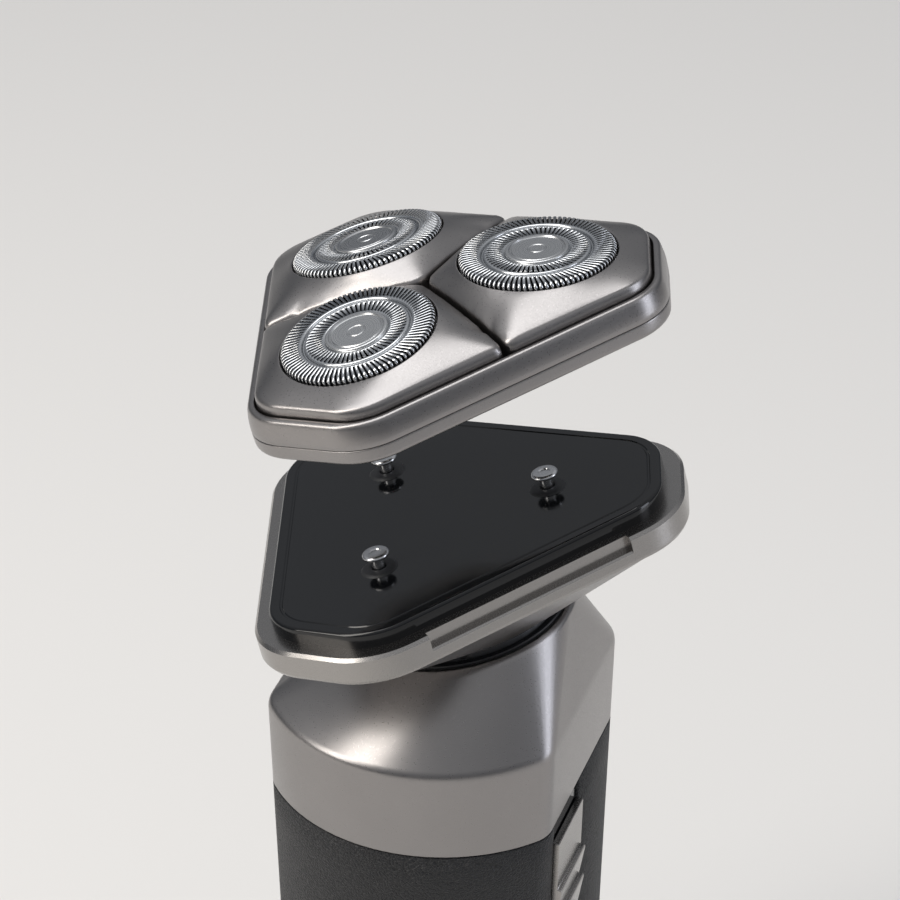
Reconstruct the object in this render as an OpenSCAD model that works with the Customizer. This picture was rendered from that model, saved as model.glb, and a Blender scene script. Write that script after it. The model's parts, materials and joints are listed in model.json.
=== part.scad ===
// Rotary electric shaver: a leather-wrapped handle, a swivelling and floating
// drive tray on a slanted neck, and a three-cutter shaving head lifted clear of it.
// Origin at the centre of the base, +Z up, -Y is the flat face with the switch.

/* [Handle] */
// Height of the collar's lower edge above the base
collar_z = 99; // [92:1:110]
// Height of the straight band round the collar
band_h = 15.6; // [12:0.2:18]
// Radius of the round sides at the collar's lower edge
body_r = 28.5; // [27.5:0.1:30]
// Half depth between the two flat faces at the collar's lower edge
body_y = 23; // [22:0.1:24]
// Corner radius between the flat and the round faces
body_corner = 5.5; // [4:0.5:7]
// Taper of each side of the handle, in degrees
taper = 1.4; // [0.5:0.1:1.8]
// Thickness of the leather wrap
wrap_t = 1.2; // [0.8:0.1:1.4]
// Wall thickness of the handle shell
shell_t = 2; // [1.6:0.1:2.4]
// Wall thickness of the collar
collar_t = 2; // [1.6:0.1:2.2]
// Height of the base cap
cap_h = 7; // [6:0.5:9]

/* [Switch] */
// Width of the glossy front strip
strip_w = 13; // [11:0.5:15]
// How far the strip and switch stand to the side of the flat face's middle
strip_x = 7.5; // [5:0.5:7.5]
// Length of the sliding switch button
slider_l = 27; // [24:0.5:32]
// Travel of the switch
slide_travel = 3; // [2:0.5:3.2]
// Number of grip steps on the button
grip_steps = 3; // [2:1:4]

/* [Neck] */
// Slant of the neck and head, in degrees
lean = 14; // [12:0.5:16]
// Turn of the tray and head about the neck, in degrees
twist = 18; // [0:1:20]
// Height of the neck centre above the collar's lower edge
neck_h = 28.3; // [27.5:0.1:30]
// Offset of the neck centre toward the switch side
neck_y = 3.4; // [2.5:0.1:3.8]
// Outer radius of the collar's mouth
mouth_r = 17.4; // [17:0.1:18.5]

/* [Tray] */
// Distance from centre to a long edge of the tray rim
rim_long = 28.4; // [28:0.1:29.5]
// Distance from centre to a short edge of the tray rim
rim_short = 37.9; // [37.5:0.1:39]
// Height of the deck's top above the neck centre
deck_z = 17.6; // [17.4:0.1:18.2]
// Height of the black deck above the rim
deck_step = 2.5; // [2.2:0.1:2.8]
// Height of the rim's side face
rim_h = 4.3; // [4:0.1:4.5]
// Height of the drive studs above the deck
stud_h = 3; // [2.8:0.1:3.2]

/* [Gears] */
// Gear module
gear_m = 0.5; // [0.5:0.5:0.5]
// Teeth on the central pinion
pinion_teeth = 14; // [13:1:15]
// Teeth on each drive gear
gear_teeth = 55; // [54:1:55]

/* [Head] */
// Height that the head is lifted off the tray
lift = 30; // [20:1:60]
// Distance from centre to a long edge of the head
head_long = 26.7; // [26.5:0.1:27.5]
// Distance from centre to a short edge of the head
head_short = 35.7; // [35.5:0.1:36.5]
// Corner radius of the head's outline
head_corner = 8.5; // [8:0.1:9]
// Distance from the head's axis to a cutter's centre
cutter_ring = 17.8; // [17.7:0.1:18]
// Radius of an outer cutter
cutter_r = 11.75; // [11.5:0.05:11.8]
// Height of the cutters' faces above the head's underside
cutter_z = 11.7; // [11.6:0.1:12.2]
// Outward slant of each cutter, in degrees
cutter_tilt = 7; // [5:0.5:7.5]
// Number of blades on the inner cutter's outer row
blade_n = 15; // [9:1:18]

/* [Hidden] */
$fn = 64;
hull_fn = 32;
eps = 0.01;

gunmetal = "#8f8b86";
light_metal = "#c9c6c2";
steel = "#d5d7da";
black = "#141518";
fit = 0.05;

// Handle places
crease_z = collar_z + band_h;
neck_z = collar_z + neck_h;
battery_r = 9.2;
battery_l = 65;
battery_y = 4;
battery_z = 12;
motor_r = 12;
motor_z = 82;
motor_l = 27;
shaft_r = 1;
plate_y = -9.4;
board_y = -14.6;
board_z = 20;
board_h = 58;
usb_w = 9;
usb_t = 3.2;
usb_l = 7.4;
usb_y = 10;
screw_x = 15;

// Strip places, measured from the collar's lower edge
strip_in = 0.4;
strip_t = 1.2;
strip_bottom = 78;
slider_top = 3.6;
slider_plain = 9;
slot_w = 4;
lens_z = 52;
lens_r = 1.5;

// Neck and tray places, measured from the neck centre
ring_top = -0.9;
ring_bottom = -6;
swivel_r = 14.9;
swivel_in = 13;
swivel_top = 1.6;
gimbal_r = 12.5;
gimbal_in = 10.3;
gimbal_h = 3.6;
hub_r = 9.9;
hub_in = 8.2;
hub_plate = 8.4;
hub_plate_t = 2;
hub_plate_r = 21.4;
pin_r = 0.8;
rim_top = deck_z - deck_step;
rim_bottom = rim_top - rim_h;
cup_lip = 1;
deck_t = 1.6;
deck_long = rim_long - 2.1;
deck_short = rim_short - 2.3;
gear_z = 11.4;
gear_h = 2.2;
stud_ring = gear_m * (pinion_teeth + gear_teeth) / 2;
stud_r = 2.15;
stud_t = 0.8;
post_ring = 17.5;
magnet_r = 1.6;
magnet_t = 1.2;
magnet_ring = deck_long - 4.7;
rim_wall = 3.2;
notch_l = 35;
notch_d = 1.3;
notch_h = 2.3;
cup_r = 4;
cup_turn = 38;
ball_r = 2.2;

// Head places, measured from the head's underside
base_h = 2.4;
frame_z = 2.5;
frame_h = 4;
pad_z = 4.7;
pad_gap = 0.9;
hinge_x = 2.8;
hinge_z = 5.6;
hinge_r = 0.6;
coupler_z = -9.9;
plate_z = 0.9;
plate_t = 1.3;
stand = 1.5;

function cutter_angle(k) = -90 - 120 * (k - 1);
function between_angle(k) = cutter_angle(k) + 60;
function shrink(z) = (z - collar_z) * tan(taper);
function polar(r, a) = [r * cos(a), r * sin(a)];
function turn(p, a) = [p[0] * cos(a) - p[1] * sin(a), p[0] * sin(a) + p[1] * cos(a)];

// Frames
module at_neck() {
    translate([0, -neck_y, neck_z]) rotate([-lean, 0, 0]) rotate([0, 0, twist]) children();
}
module at_motor() {
    translate([0, -neck_y, 0]) children();
}
module at_front() {
    translate([-strip_x, -body_y, collar_z]) rotate([taper, 0, 0]) children();
}
module at_head() {
    translate([0, 0, lift]) at_neck() translate([0, 0, deck_z]) children();
}
module at_pad(k) {
    at_head() rotate([0, 0, cutter_angle(k)]) children();
}
module blade_frame() {
    translate([cutter_ring, 0, cutter_z]) rotate([0, cutter_tilt, 0]) children();
}
module at_blade(k) {
    at_pad(k) blade_frame() children();
}

// Basic shapes
module tube(r_out, r_in, h) {
    difference() {
        cylinder(r = r_out, h = h);
        translate([0, 0, -1]) cylinder(r = r_in, h = h + 2);
    }
}
module pin_x(r, x0, x1) {
    translate([x0, 0, 0]) rotate([0, 90, 0]) cylinder(r = r, h = x1 - x0);
}
module pin_y(r, y0, y1) {
    rotate([0, 0, 90]) pin_x(r, y0, y1);
}

// Outline of the handle: two round sides, two flat faces, rounded corners
module section(grow) {
    offset(r = body_corner, $fn = hull_fn)
        intersection() {
            circle(r = body_r + grow - body_corner, $fn = 2 * hull_fn);
            square([4 * body_r, 2 * (body_y + grow - body_corner)], center = true);
        }
}
module tapered(z0, z1, inset) {
    hull() {
        translate([0, 0, z0]) linear_extrude(eps) section(shrink(z0) - inset);
        translate([0, 0, z1 - eps]) linear_extrude(eps) section(shrink(z1) - inset);
    }
}
module plain_section(r, y) {
    intersection() {
        circle(r = r);
        square([4 * r, 2 * y], center = true);
    }
}

// Six-sided outline with round corners: long edges lie between the cutters
function corner_offset(long, short, r) = ((long - r) - (short - r) / 2) / sin(60);
function corner_at(long, short, r, k, s) =
    turn([short - r, s * corner_offset(long, short, r)], cutter_angle(k));
module rounded_hex(long, short, r) {
    polygon([for (k = [3, 2, 1], s = [-1, 1], e = [-1, 1])
        corner_at(long, short, r, k, s)
            + polar(r, cutter_angle(k) + (e == s ? 60 * s : 0))]);
    for (k = [1:3], s = [-1, 1]) translate(corner_at(long, short, r, k, s)) circle(r = r);
}
module hex_plate(long, short, r, z, h) {
    translate([0, 0, z]) linear_extrude(h) rounded_hex(long, short, r);
}

// Spur gear with straight-sided teeth
module gear(teeth, h, phase) {
    pitch = gear_m * teeth / 2;
    step = 360 / teeth;
    linear_extrude(h) polygon([for (i = [0:teeth - 1]) let (a = phase + i * step) each [
        polar(pitch - 1.2 * gear_m, a - 0.36 * step),
        polar(pitch - 0.1 * gear_m, a - 0.24 * step),
        polar(pitch + 0.8 * gear_m, a - 0.12 * step),
        polar(pitch + 0.8 * gear_m, a + 0.12 * step),
        polar(pitch - 0.1 * gear_m, a + 0.24 * step),
        polar(pitch - 1.2 * gear_m, a + 0.36 * step)]]);
}

// ---- Handle ----
module foot_pad() {
    color("#1d1d1f") difference() {
        linear_extrude(0.8) plain_section(body_r + shrink(0) - 3, body_y + shrink(0) - 3);
        translate([0, usb_y, -1]) linear_extrude(3) square([usb_w + 3, usb_t + 3], center = true);
        for (s = [-1, 1]) translate([s * screw_x, 0, -1]) cylinder(r = 2.6, h = 3);
    }
}
module base_cap() {
    color(gunmetal) difference() {
        tapered(0.8, cap_h, 0);
        translate([0, 0, 3]) linear_extrude(cap_h)
            plain_section(body_r + shrink(0) - 5, body_y + shrink(0) - 5);
        translate([0, usb_y, -1]) linear_extrude(6)
            square([usb_w + 0.6, usb_t + 0.6], center = true);
        for (s = [-1, 1]) translate([s * screw_x, 0, -1]) cylinder(r = 1.2, h = 6);
        for (s = [-1, 1]) translate([s * screw_x, 0, 0]) cylinder(r = 2.4, h = 2);
    }
}
module base_screws() {
    color(steel) for (s = [-1, 1]) translate([s * screw_x, 0, 0]) {
        difference() {
            translate([0, 0, 0.9]) cylinder(r = 2.2, h = 1.1);
            for (a = [0, 90]) rotate([0, 0, a]) translate([-1.2, -0.25, 0.5]) cube([2.4, 0.5, 0.9]);
        }
        translate([0, 0, 1.9]) cylinder(r = 1.1, h = 8);
    }
}
module usb_socket() {
    color(steel) translate([0, usb_y, 1.4]) {
        difference() {
            translate([-usb_w / 2, -usb_t / 2, 0]) cube([usb_w, usb_t, usb_l]);
            translate([-usb_w / 2 + 0.4, -usb_t / 2 + 0.4, -1])
                cube([usb_w - 0.8, usb_t - 0.8, usb_l]);
        }
        translate([-3.2, -0.35, 0.6]) cube([6.4, 0.7, usb_l - 0.8]);
    }
}
module handle_shell() {
    color("#232427") difference() {
        tapered(cap_h, collar_z, wrap_t);
        tapered(cap_h - 1, collar_z + 1, wrap_t + shell_t);
        at_front() translate([-slot_w / 2, -1, -slider_top - slider_l + 3])
            cube([slot_w, 8, slider_l - 6 + slide_travel]);
        at_front() translate([0, 0, -lens_z]) rotate([90, 0, 0])
            cylinder(r = lens_r, h = 12, center = true);
    }
}
module leather_wrap() {
    color("#2c2d31") difference() {
        tapered(cap_h, collar_z, 0);
        tapered(cap_h - 1, collar_z + 1, wrap_t);
        at_front() translate([-strip_w / 2 - fit, -4, -strip_bottom])
            cube([strip_w + 2 * fit, 8, strip_bottom + 10]);
    }
}
module front_strip() {
    color(black) at_front() difference() {
        translate([-strip_w / 2, strip_in, -strip_bottom + fit])
            cube([strip_w, wrap_t - strip_in - 0.02, strip_bottom - fit - 0.6]);
        translate([-slot_w / 2, -1, -slider_top - slider_l + 3])
            cube([slot_w, 8, slider_l - 6 + slide_travel]);
        translate([0, 0, -lens_z]) rotate([90, 0, 0])
            cylinder(r = lens_r + fit, h = 12, center = true);
    }
}
module indicator_lens() {
    color("#e8eef2") at_front() translate([0, 0.35, -lens_z]) rotate([-90, 0, 0])
        cylinder(r = lens_r, h = 4.2);
}
module switch_slider() {
    step = (slider_l - slider_plain) / grip_steps;
    color(light_metal) at_front() translate([0, 0, -slider_top]) {
        translate([-strip_w / 2 + 0.2, -0.9, -slider_plain])
            cube([strip_w - 0.4, 1.2, slider_plain]);
        for (i = [0:grip_steps - 1]) translate([0, 0, -slider_plain - i * step])
            rotate([0, 90, 0]) translate([0, 0, -strip_w / 2 + 0.2]) linear_extrude(strip_w - 0.4)
                polygon([[0, -1.5], [0.3, -1.7], [step, -0.9], [step, 0.3], [0, 0.3]]);
        translate([-slot_w / 2 + 0.3, 0.3, -slider_l + 5])
            cube([slot_w - 0.6, 4.6, slider_l - 10]);
    }
}
module chassis() {
    color("#3a3c40") difference() {
        union() {
            translate([-16, plate_y, cap_h + 1]) cube([32, 2, motor_z - cap_h - 1]);
            at_motor() translate([0, 0, motor_z - 2]) cylinder(r = motor_r + 2, h = motor_l + 2);
            for (z = [battery_z + 8, battery_z + battery_l - 14])
                translate([-battery_r - 1.4, plate_y, z]) cube([2 * battery_r + 2.8, battery_y - plate_y, 4]);
            for (s = [-1, 1], z = [board_z + 6, board_z + 50])
                translate([s * 10 - 2, board_y + 1.25, z]) cube([4, plate_y - board_y - 1, 4]);
        }
        at_motor() translate([0, 0, motor_z]) cylinder(r = motor_r + fit, h = motor_l + 2);
        translate([0, battery_y, 0]) cylinder(r = battery_r + 0.1, h = motor_z - 2.2);
        for (s = [-1, 1]) translate([s * 10, 0, board_z + 8]) pin_y(0.9, -16, -6);
    }
}
module battery() {
    color("#2d6b9a") translate([0, battery_y, battery_z]) {
        cylinder(r = battery_r, h = battery_l);
        cylinder(r = 3, h = battery_l + 1.2);
    }
}
module circuit_board() {
    color("#1f5a3c") translate([0, board_y, 0]) {
        difference() {
            translate([-13, 0, board_z]) cube([26, 1.2, board_h]);
            for (s = [-1, 1]) translate([s * 10, 0, board_z + 8]) pin_y(0.9, -2, 4);
        }
        for (x = [-5.8, 2.8]) translate([x, -2.6, board_z + board_h - 10]) cube([3, 2.6, 9]);
        translate([-6, -1.2, 50]) cube([7, 1.2, 7]);
        translate([4, -1.6, 34]) cube([5, 1.6, 5]);
        translate([-8, -1, 34]) cube([4, 1, 3]);
        translate([0, 1.1, 60]) rotate([-90, 0, 0]) cylinder(r = 1.6, h = 1);
    }
}
module motor_can() {
    color(light_metal) at_motor() difference() {
        union() {
            translate([0, 0, motor_z]) cylinder(r = motor_r, h = motor_l);
            translate([0, 0, motor_z + motor_l - eps]) cylinder(r = 3.2, h = 1.6);
        }
        translate([0, 0, motor_z + 1.4]) cylinder(r = motor_r - 1.2, h = motor_l - 2.8);
        translate([0, 0, motor_z + 0.6]) cylinder(r = shaft_r + fit, h = motor_l + 4);
    }
}
module motor_rotor() {
    color("#a8552c") at_motor() {
        translate([0, 0, motor_z + 0.8]) cylinder(r = shaft_r, h = neck_z - 4.5 - motor_z);
        translate([0, 0, motor_z + 5]) difference() {
            cylinder(r = motor_r - 2.4, h = motor_l - 12);
            for (a = [0:120:240]) rotate([0, 0, a]) translate([6.4, -0.8, -1])
                cube([6, 1.6, motor_l]);
        }
    }
}
module drive_cup() {
    color("#e6e4de") at_motor() translate([0, 0, neck_z]) rotate([0, 0, twist]) difference() {
        translate([0, 0, -8]) cylinder(r = cup_r, h = 10);
        translate([0, 0, -3]) cylinder(r = ball_r + 0.5, h = 8);
        translate([0, 0, -9]) cylinder(r = shaft_r, h = 8);
        // wide slots: the pin moves round in them as the neck swivels
        for (a = [-cup_turn:cup_turn / 5:0]) rotate([0, 0, a])
            translate([-cup_r - 1, -1, -2]) cube([2 * cup_r + 2, 2, 8]);
    }
}
module collar() {
    color(gunmetal) difference() {
        union() {
            tapered(collar_z, crease_z, 0);
            hull() {
                translate([0, 0, crease_z - eps]) linear_extrude(eps) section(shrink(crease_z));
                at_neck() translate([0, 0, -2]) cylinder(r = mouth_r, h = 0.4, $fn = 2 * hull_fn);
                at_neck() translate([0, 0, -1.3]) cylinder(r = mouth_r - 0.7, h = 0.1, $fn = 2 * hull_fn);
            }
        }
        hull() {
            translate([0, 0, collar_z - 1]) linear_extrude(eps) section(shrink(collar_z) - collar_t);
            translate([0, 0, crease_z - 0.4]) linear_extrude(eps) section(shrink(crease_z) - collar_t);
            at_neck() translate([0, 0, -9]) cylinder(r = mouth_r - 0.4, h = 0.1, $fn = 2 * hull_fn);
        }
        at_neck() translate([0, 0, -12]) cylinder(r = mouth_r - 1.4, h = 20);
    }
}

// ---- Neck ----
module neck_ring() {
    color(black) at_neck() translate([0, 0, ring_bottom])
        tube(mouth_r - 1.4, swivel_r + fit, ring_top - ring_bottom);
}
module swivel_ring() {
    color(black) at_neck() difference() {
        union() {
            translate([0, 0, ring_bottom - 1.4]) cylinder(r = swivel_r, h = swivel_top + 1.4 - ring_bottom);
            translate([0, 0, ring_bottom - 1.4]) cylinder(r = swivel_r + 0.8, h = 1.1);
        }
        translate([0, 0, -20]) cylinder(r = swivel_in, h = 40);
        pin_x(pin_r, -20, 20);
    }
}
module swivel_pins() {
    color(steel) at_neck() for (s = [0, 180]) rotate([0, 0, s]) pin_x(pin_r, gimbal_in + 0.2, swivel_r - 0.2);
}
module gimbal_ring() {
    color(steel) at_neck() difference() {
        translate([0, 0, -gimbal_h / 2]) tube(gimbal_r, gimbal_in, gimbal_h);
        pin_x(pin_r + fit, -20, 20);
        pin_y(pin_r, -20, 20);
    }
}
module gimbal_pins() {
    color(steel) at_neck() for (s = [0, 180]) rotate([0, 0, s]) pin_y(pin_r, hub_in + 0.1, gimbal_r - 0.2);
}

// ---- Tray ----
module tray_hub() {
    color("#34363a") at_neck() difference() {
        union() {
            translate([0, 0, hub_plate]) cylinder(r = hub_plate_r, h = hub_plate_t);
            translate([0, 0, -gimbal_h / 2]) cylinder(r = hub_r, h = hub_plate + gimbal_h / 2 + eps);
        }
        translate([0, 0, -gimbal_h]) cylinder(r = hub_in, h = hub_plate + gimbal_h);
        pin_y(pin_r + fit, -20, 20);
        cylinder(r = shaft_r + 0.2 + fit, h = 20);
        for (k = [1:3]) rotate([0, 0, cutter_angle(k)]) translate([stud_ring, 0, 0])
            cylinder(r = shaft_r + fit, h = 20);
        for (k = [1:3]) rotate([0, 0, between_angle(k)]) translate([post_ring, 0, 0]) {
            cylinder(r = 1, h = 20);
            cylinder(r = 1.8, h = hub_plate + 1);
        }
    }
}
module tray_cup() {
    color(gunmetal) at_neck() difference() {
        hull() {
            translate([0, 0, cup_lip]) cylinder(r = mouth_r - 0.6, h = eps, $fn = 2 * hull_fn);
            translate([0, 0, rim_bottom - 0.3 - eps]) linear_extrude(eps)
                rounded_hex(rim_long - 0.3, rim_short - 0.3, head_corner + 0.7, $fn = hull_fn);
        }
        hull() {
            translate([0, 0, cup_lip - eps]) cylinder(r = mouth_r - 2, h = eps, $fn = 2 * hull_fn);
            translate([0, 0, rim_bottom]) linear_extrude(eps)
                rounded_hex(rim_long - 2, rim_short - 2, head_corner - 1, $fn = hull_fn);
        }
    }
}
module tray_rim() {
    color(light_metal) at_neck() difference() {
        hex_plate(rim_long, rim_short, head_corner + 1, rim_bottom - 0.3, rim_h + 0.3);
        hex_plate(rim_long - rim_wall, rim_short - rim_wall, head_corner + 1 - rim_wall, rim_bottom - 1, rim_h + 2);
        rotate([0, 0, between_angle(1) - 120]) translate([rim_long - notch_d, -notch_l / 2, rim_top - notch_h])
            cube([notch_d + 1, notch_l, notch_h + 1]);
    }
}
module deck_plate() {
    under = deck_z - deck_t;
    post_z = hub_plate + hub_plate_t;
    color(black) at_neck() difference() {
        union() {
            difference() {
                hex_plate(deck_long, deck_short, head_corner - 1, rim_top, deck_step);
                hex_plate(deck_long - 3, deck_short - 3, head_corner - 3, rim_top - 1, under - rim_top + 1);
            }
            for (k = [1:3]) rotate([0, 0, between_angle(k)]) translate([post_ring, 0, post_z])
                cylinder(r = 2.2, h = under - post_z + 0.3);
            translate([0, 0, gear_z + gear_h + 0.8]) cylinder(r = 3, h = under - gear_z - gear_h - 0.5);
        }
        for (k = [1:3]) rotate([0, 0, cutter_angle(k)]) translate([stud_ring, 0, 0])
            cylinder(r = shaft_r + fit, h = 30);
        for (k = [1:3]) rotate([0, 0, between_angle(k)]) translate([post_ring, 0, 0])
            cylinder(r = 0.9, h = under - 0.6);
        cylinder(r = shaft_r + 0.2 + fit, h = under);
    }
}
module tray_magnets() {
    color(steel) at_neck() for (k = [1:3]) rotate([0, 0, between_angle(k)])
        translate([magnet_ring, 0, deck_z - deck_t - magnet_t]) cylinder(r = magnet_r, h = magnet_t);
}
module tray_screws() {
    color(steel) at_neck() for (k = [1:3]) rotate([0, 0, between_angle(k)])
        translate([post_ring, 0, 0]) {
            translate([0, 0, hub_plate + 0.1]) cylinder(r = 1.7, h = 0.9);
            translate([0, 0, hub_plate + 0.9]) cylinder(r = 0.9, h = 5);
        }
}
module pinion_shaft() {
    color(steel) at_neck() {
        sphere(r = ball_r);
        cylinder(r = shaft_r + 0.2, h = deck_z - deck_t - 0.2);
        pin_x(0.5, -3.3, 3.3);
    }
}
module drive_pinion() {
    color("#e6e4de") at_neck() translate([0, 0, gear_z - 0.3]) difference() {
        gear(pinion_teeth, gear_h + 0.6, 0);
        translate([0, 0, -1]) cylinder(r = shaft_r + 0.2, h = 8);
    }
}
module spindle(k) {
    color(steel) at_neck() rotate([0, 0, cutter_angle(k)]) translate([stud_ring, 0, 0]) {
        translate([0, 0, hub_plate + 0.2]) cylinder(r = shaft_r, h = deck_z + stud_h - 0.5 - hub_plate);
        translate([0, 0, deck_z + stud_h - stud_t]) cylinder(r = stud_r, h = stud_t);
    }
}
module drive_gear(k) {
    a = cutter_angle(k);
    ratio = pinion_teeth / gear_teeth;
    color("#e6e4de") at_neck() rotate([0, 0, a]) translate([stud_ring, 0, gear_z]) difference() {
        gear(gear_teeth, gear_h, a * ratio + 180 + 180 / gear_teeth);
        translate([0, 0, -1]) cylinder(r = shaft_r, h = 8);
        for (i = [0:4]) rotate([0, 0, 72 * i]) translate([7.5, 0, -1]) cylinder(r = 2.6, h = 8);
    }
}

// ---- Head ----
module head_base() {
    color(gunmetal) at_head() difference() {
        hex_plate(head_long, head_short, head_corner, 0, base_h);
        hex_plate(head_long - 4, head_short - 4, head_corner - 2.5, -1, 5);
        for (k = [1:3]) rotate([0, 0, between_angle(k)]) translate([head_long - 2, 0, 0.3])
            cylinder(r = magnet_r, h = 1.6);
    }
}
module head_frame() {
    color(gunmetal) at_head() difference() {
        union() {
            difference() {
                union() {
                    hex_plate(head_long, head_short, head_corner, frame_z, frame_h - 1.2);
                    hex_plate(head_long - 0.6, head_short - 0.6, head_corner - 0.6, frame_z + 1, frame_h - 1);
                }
                hex_plate(head_long - 2.1, head_short - 2.1, head_corner - 2.1, 0, 12);
            }
            for (k = [1:3]) rotate([0, 0, between_angle(k)]) translate([0, -1.2, frame_z + 0.1])
                cube([head_long - 1.2, 2.4, 1.4]);
            translate([0, 0, frame_z + 0.1]) cylinder(r = 5, h = 1.5);
            for (k = [1:3], s = [-1, 1]) rotate([0, 0, cutter_angle(k)])
                translate([hinge_x - 0.8, s * 2.35 - 0.65, frame_z + 0.2])
                    cube([1.6, 1.3, hinge_z - frame_z + 0.7]);
        }
        cylinder(r = 1.5 + fit, h = 6);
        for (k = [1:3]) rotate([0, 0, cutter_angle(k)]) translate([hinge_x, 0, hinge_z])
            pin_y(hinge_r, -4, 4);
    }
}
module retaining_frame() {
    color("#3a3c40") at_head() difference() {
        hex_plate(head_long - 4.2, head_short - 4.2, head_corner - 2.7, plate_z, plate_t);
        for (k = [1:3]) rotate([0, 0, cutter_angle(k)]) translate([cutter_ring - 1.2, 0, 0])
            cylinder(r = 6.8, h = 8);
        cylinder(r = 1.5 + 0.1, h = 8);
    }
}
module lock_knob() {
    color("#b9bbbe") at_head() {
        translate([0, 0, 0.3]) cylinder(r = 4.6, h = 0.5);
        translate([-4.2, -0.6, 0.1]) cube([8.4, 1.2, 0.4]);
        translate([0, 0, 0.7]) cylinder(r = 1.5, h = frame_z + 0.7);
    }
}
module head_magnets() {
    color(steel) at_head() for (k = [1:3]) rotate([0, 0, between_angle(k)])
        translate([head_long - 2, 0, 0.35]) cylinder(r = magnet_r, h = 1.5);
}
module pad_pins() {
    color(steel) for (k = [1:3]) at_pad(k) translate([hinge_x, 0, hinge_z]) pin_y(hinge_r, -3, 3);
}
module pad_springs() {
    color(steel) for (k = [1:3]) at_pad(k) translate([29, 0, plate_z + plate_t])
        tube(1.4, 1, pad_z - plate_z - plate_t);
}
// Outline of one pad, with its cutter along +X
module kite() {
    intersection() {
        rotate([0, 0, -cutter_angle(1)])
            rounded_hex(head_long - 2.9, head_short - 2.9, head_corner - 2.9);
        translate([pad_gap / 2 / sin(60), 0])
            polygon([[0, 0], polar(60, -60), [60, 0], polar(60, 60)]);
    }
}
module pad(k) {
    color(gunmetal) at_pad(k) difference() {
        union() {
            difference() {
                intersection() {
                    translate([0, 0, pad_z]) linear_extrude(10) kite();
                    blade_frame() translate([0, 0, -stand - 43.2]) sphere(r = 45, $fn = 96);
                }
                blade_frame() translate([0, 0, -4]) cylinder(r = cutter_r + 0.3, h = 20);
                blade_frame() translate([0, 0, -23.3]) cylinder(r = cutter_r + 0.7, h = 20);
                translate([-2, -3.5, 0]) cube([6.7, 7, hinge_z + 1.3]);
            }
            translate([hinge_x, 0, hinge_z]) pin_y(1.25, -1.5, 1.5);
            translate([hinge_x - 0.9, -1.5, hinge_z]) cube([1.8, 3, 2]);
        }
        translate([hinge_x, 0, hinge_z]) pin_y(hinge_r + fit, -6, 6);
    }
}
module outer_cutter(k) {
    color(steel) at_blade(k) difference() {
        union() {
            translate([0, 0, -4.4]) cylinder(r = cutter_r, h = 4.4);
            translate([0, 0, -4.4]) cylinder(r = cutter_r + 0.5, h = 1);
        }
        translate([0, 0, -5]) cylinder(r = cutter_r - 0.5, h = 4.5);
        translate([0, 0, -0.25]) tube(8.35, 7.95, 1);
    }
}
module cutter_cap(k) {
    color(light_metal) at_blade(k) cylinder(r = 4.8, h = 0.3);
}
module inner_cutter(k) {
    color(steel) at_blade(k) difference() {
        union() {
            translate([0, 0, -2.3]) cylinder(r = 10.8, h = 0.7);
            translate([0, 0, -4]) cylinder(r = 2.9, h = 3);
            for (i = [0:blade_n - 1]) rotate([0, 0, i * 360 / blade_n]) translate([8.6, -0.3, -1.7])
                cube([2, 0.6, 1.05]);
            for (i = [0:blade_n - 4]) rotate([0, 0, i * 360 / (blade_n - 3)])
                translate([5.6, -0.3, -1.7]) cube([2, 0.6, 1.05]);
        }
        translate([0, 0, -5]) cylinder(r = 1.8, h = 3);
        for (a = [0:60:300]) rotate([0, 0, a + 30]) translate([4.4, 0, -5]) cylinder(r = 0.9, h = 8);
    }
}
module cutter_coupler(k) {
    color("#e6e4de") at_blade(k) difference() {
        union() {
            translate([0, 0, coupler_z]) cylinder(r = 4.6, h = 3.3);
            translate([0, 0, coupler_z + 3]) cylinder(r = 1.8, h = -2.1 - coupler_z - 3);
        }
        translate([0, 0, coupler_z - 1]) cylinder(r = 3.8, h = 3.9);
    }
}

foot_pad();
base_cap();
base_screws();
usb_socket();
handle_shell();
leather_wrap();
front_strip();
indicator_lens();
switch_slider();
chassis();
battery();
circuit_board();
motor_can();
motor_rotor();
drive_cup();
collar();
neck_ring();
swivel_ring();
swivel_pins();
gimbal_ring();
gimbal_pins();
tray_hub();
tray_cup();
tray_rim();
deck_plate();
tray_magnets();
tray_screws();
pinion_shaft();
drive_pinion();
spindle(1);  // spindle_1
spindle(2);  // spindle_2
spindle(3);  // spindle_3
drive_gear(1);  // drive_gear_1
drive_gear(2);  // drive_gear_2
drive_gear(3);  // drive_gear_3
head_base();
head_frame();
retaining_frame();
lock_knob();
head_magnets();
pad_pins();
pad_springs();
pad(1);  // pad_1
pad(2);  // pad_2
pad(3);  // pad_3
outer_cutter(1);  // outer_cutter_1
outer_cutter(2);  // outer_cutter_2
outer_cutter(3);  // outer_cutter_3
cutter_cap(1);  // cutter_cap_1
cutter_cap(2);  // cutter_cap_2
cutter_cap(3);  // cutter_cap_3
inner_cutter(1);  // inner_cutter_1
inner_cutter(2);  // inner_cutter_2
inner_cutter(3);  // inner_cutter_3
cutter_coupler(1);  // cutter_coupler_1
cutter_coupler(2);  // cutter_coupler_2
cutter_coupler(3);  // cutter_coupler_3
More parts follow.
